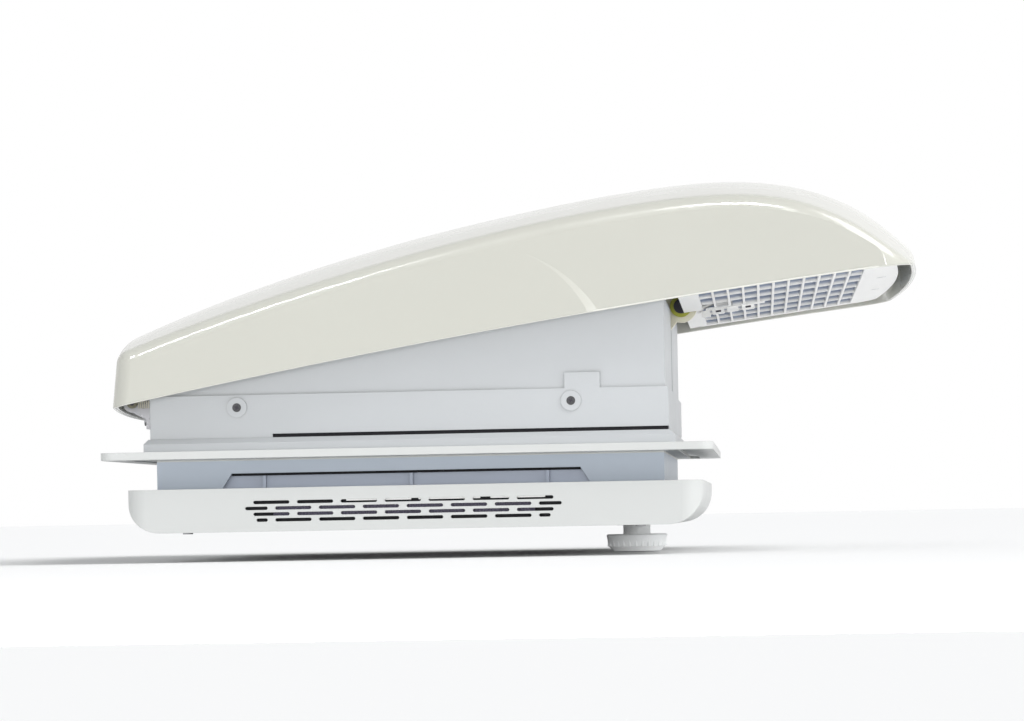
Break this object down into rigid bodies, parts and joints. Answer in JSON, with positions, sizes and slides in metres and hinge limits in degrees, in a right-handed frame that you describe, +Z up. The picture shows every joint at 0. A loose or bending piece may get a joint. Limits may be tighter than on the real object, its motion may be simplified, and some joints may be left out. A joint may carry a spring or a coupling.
{
  "type": "caravan roof vent",
  "caption": "Powered caravan roof vent: square roof flange, wedge hood that tilts open on a worm-driven arm, fan, ceiling trim with a dial knob.",
  "frame": {"origin": "middle of the roof opening, on the underside of the roof flange", "axes": "+X from the hood's hinge end towards its nose, +Y across the vent, +Z up out of the roof"},
  "size_m": [0.5723, 0.42, 0.2669],
  "materials": {
    "hood_plastic": "gloss moulded plastic, warm off-white",
    "flange_plastic": "gloss moulded plastic, neutral off-white",
    "duct_plastic": "satin moulded plastic, pale bluish grey",
    "grille_plastic": "satin moulded plastic, white",
    "knob_plastic": "satin moulded plastic, cool white",
    "arm_plastic": "moulded plastic, cream",
    "bush_plastic": "moulded plastic, yellow-green",
    "fan_plastic": "moulded plastic, grey",
    "gear_plastic": "natural nylon",
    "switch_plastic": "gloss plastic, dark grey",
    "dark_screws": "dark zinc",
    "steel": "zinc plated",
    "motor_case": "zinc plated can",
    "screen_wire": "moulded plastic, dark grey",
    "seal_rubber": "foam rubber, black"
  },
  "bodies": {
    "base": {"base_frame": "flange_plastic", "upstand_frame": "duct_plastic", "rim_seal": "seal_rubber", "upstand_screws": "dark_screws", "riser_duct": "duct_plastic", "duct_collar": "duct_plastic", "fan_shroud": "duct_plastic", "shroud_screws": "steel", "fan_motor": "motor_case", "motor_screws": "steel", "gearbox_bracket": "duct_plastic", "gearbox_screws": "steel", "hinge_bracket_near": "steel", "hinge_bracket_far": "steel", "hinge_pins": "steel", "hinge_nuts": "steel", "hinge_screws": "steel", "ceiling_trim": "flange_plastic", "trim_screws": "steel", "screen_frame": "grille_plastic", "screen_mesh": "screen_wire", "screen_clips": "grille_plastic", "switch_housing": "flange_plastic"},
    "hood": {"hood_shell": "hood_plastic", "inner_lid": "duct_plastic", "lid_gasket": "seal_rubber", "lid_screws": "steel", "exhaust_grille": "grille_plastic", "grille_screws": "steel", "lift_rail": "grille_plastic", "rail_screws": "steel", "hood_arm_near": "hood_plastic", "hood_arm_far": "hood_plastic"},
    "lift": {"lift_arm": "arm_plastic", "lift_bush": "bush_plastic", "lift_pin": "dark_screws", "worm_wheel": "gear_plastic", "wheel_shaft": "steel", "shaft_clips": "steel"},
    "roller": {"lift_roller": "arm_plastic"},
    "knob": {"knob": "knob_plastic", "knob_shaft": "steel", "worm": "gear_plastic", "shaft_collar": "steel"},
    "fan": {"fan_rotor": "fan_plastic", "motor_shaft": "steel", "rotor_nut": "steel"},
    "switch": {"switch_rocker": "switch_plastic"}
  },
  "joints": [
    {"name": "hood_lift", "type": "hinge", "parent": "base", "child": "hood", "pos_m": [-0.1916, 0, 0.04], "axis": [0, -1, 0], "range_deg": [-9, 0]},
    {"name": "lift_turn", "type": "hinge", "parent": "base", "child": "lift", "pos_m": [0.13, 0, 0.042], "axis": [0, -1, 0], "range_deg": [-41.3, 0]},
    {"name": "knob_turn", "type": "hinge", "parent": "base", "child": "knob", "pos_m": [0.15, -0.014, 0], "axis": [0, 0, 1], "range_deg": [0, 825.5]},
    {"name": "roller_spin", "type": "hinge", "parent": "lift", "child": "roller", "pos_m": [0.1852, 0.009, 0.1096], "axis": [0, 1, 0], "continuous": true},
    {"name": "fan_spin", "type": "hinge", "parent": "base", "child": "fan", "pos_m": [-0.014, 0, 0], "axis": [0, 0, 1], "continuous": true},
    {"name": "switch_rock", "type": "hinge", "parent": "base", "child": "switch", "pos_m": [0.144, 0.06, -0.0505], "axis": [0, -1, 0], "range_deg": [0, 14]}
  ],
  "couplings": [
    {"joint": "lift_turn", "follows": "hood_lift", "ratio": 4.5851},
    {"joint": "knob_turn", "follows": "hood_lift", "ratio": -91.702}
  ]
}
